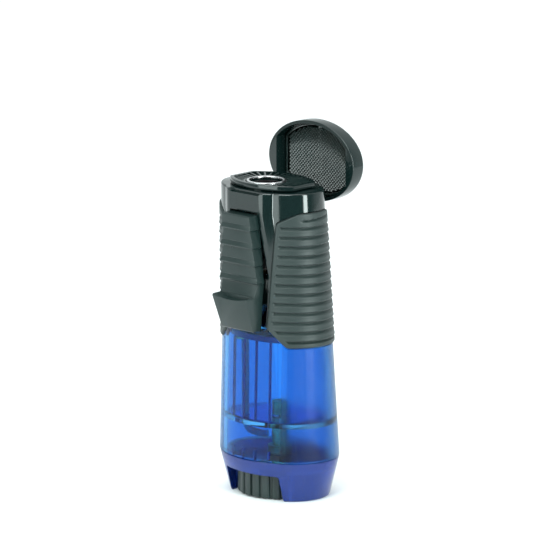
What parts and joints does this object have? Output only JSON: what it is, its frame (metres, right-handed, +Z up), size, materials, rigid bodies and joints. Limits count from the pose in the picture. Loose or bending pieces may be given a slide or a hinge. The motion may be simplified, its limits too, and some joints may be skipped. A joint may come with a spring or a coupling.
{
  "type": "butane torch lighter",
  "caption": "Refillable jet-flame lighter with a ribbed slide trigger, flip lid, side grips, see-through blue fuel tank and a flame adjuster wheel in its base.",
  "frame": {"origin": "under the middle of the whole object's box, with the lid open, on the surface it stands on", "axes": "+Z up, -Y towards the trigger, +Y towards the lid hinge, +X to the right of someone who looks at the trigger from the front"},
  "size_m": [0.033, 0.0338, 0.0918],
  "materials": {
    "gloss_black": "moulded gloss black with a slight green cast",
    "grip_rubber": "matte grooved rubber",
    "trigger_black": "satin black plastic",
    "clear_blue": "see-through blue plastic",
    "dark_blue": "see-through dark blue plastic",
    "seal_rubber": "soft black rubber",
    "brass": "turned brass",
    "steel": "bright steel",
    "heat_liner": "black liner with a fine diamond pattern",
    "ceramic": "white fired ceramic",
    "white_plastic": "natural white plastic",
    "chassis_black": "plain black plastic",
    "lead_rubber": "insulated lead",
    "hose_plastic": "natural nylon hose"
  },
  "bodies": {
    "housing": {"upper_housing": "gloss_black", "top_deck": "gloss_black", "left_grip": "grip_rubber", "right_grip": "grip_rubber", "fuel_tank": "clear_blue", "tank_lid": "dark_blue", "base": "dark_blue", "tank_seal": "seal_rubber", "valve_body": "brass", "jet_nozzle": "brass", "refill_valve": "brass", "valve_spring": "steel", "lever_pin": "steel", "burner_tube": "steel", "flame_disc": "steel", "nozzle_ring": "steel", "electrode": "steel", "piezo_spring": "steel", "hinge_pin": "steel", "lid_spring": "steel", "refill_spring": "steel", "electrode_insulator": "ceramic", "piezo_body": "chassis_black", "inner_frame": "chassis_black", "ignition_lead": "lead_rubber", "gas_hose": "hose_plastic", "fuel_tube": "hose_plastic"},
    "lid": {"lid_shell": "gloss_black", "lid_liner": "heat_liner"},
    "thumb_slide": {"trigger": "trigger_black"},
    "plunger": {"piezo_plunger": "white_plastic"},
    "lever": {"valve_lever": "steel"},
    "stem": {"valve_stem": "steel"},
    "latch": {"lid_latch": "steel"},
    "adjuster": {"adjuster_wheel": "trigger_black", "adjuster_collar": "brass"},
    "refill_pin": {"refill_stem": "steel"}
  },
  "joints": [
    {"name": "lid_hinge", "type": "hinge", "parent": "housing", "child": "lid", "pos_m": [0, 0.0074, 0.0731], "axis": [1, 0, 0], "range_deg": [0, 90], "stiffness_Nm_per_rad": 0.0008, "springref_deg": -28.65},
    {"name": "trigger_slide", "type": "slide", "parent": "housing", "child": "thumb_slide", "axis": [0, 0, -1], "range_m": [0, 0.0045], "stiffness_N_per_m": 600, "springref_m": -0.003},
    {"name": "plunger_slide", "type": "slide", "parent": "housing", "child": "plunger", "axis": [0, 0, -1], "range_m": [0, 0.0045], "deforming": ["piezo_spring"]},
    {"name": "lever_hinge", "type": "hinge", "parent": "housing", "child": "lever", "pos_m": [-0.0065, -0.001, 0.0468], "axis": [-1, 0, 0], "range_deg": [0, 12.2]},
    {"name": "stem_slide", "type": "slide", "parent": "housing", "child": "stem", "axis": [0, 0, 1], "range_m": [0, 0.0007], "deforming": ["valve_spring"]},
    {"name": "latch_slide", "type": "slide", "parent": "housing", "child": "latch", "axis": [0, 0, -1], "range_m": [0, 0.0019]},
    {"name": "adjuster_turn", "type": "hinge", "parent": "housing", "child": "adjuster", "pos_m": [0, 0.00135, 0.003], "axis": [0, 0, 1], "range_deg": [-120, 120]},
    {"name": "refill_slide", "type": "slide", "parent": "housing", "child": "refill_pin", "axis": [0, 0, 1], "range_m": [0, 0.001], "stiffness_N_per_m": 300, "springref_m": -0.001, "deforming": ["refill_spring"]}
  ],
  "couplings": [
    {"joint": "plunger_slide", "follows": "trigger_slide", "ratio": 1},
    {"joint": "lever_hinge", "follows": "trigger_slide", "rad_per_m": 46.5},
    {"joint": "stem_slide", "follows": "trigger_slide", "ratio": 0.13},
    {"joint": "latch_slide", "follows": "trigger_slide", "ratio": 0.4}
  ]
}
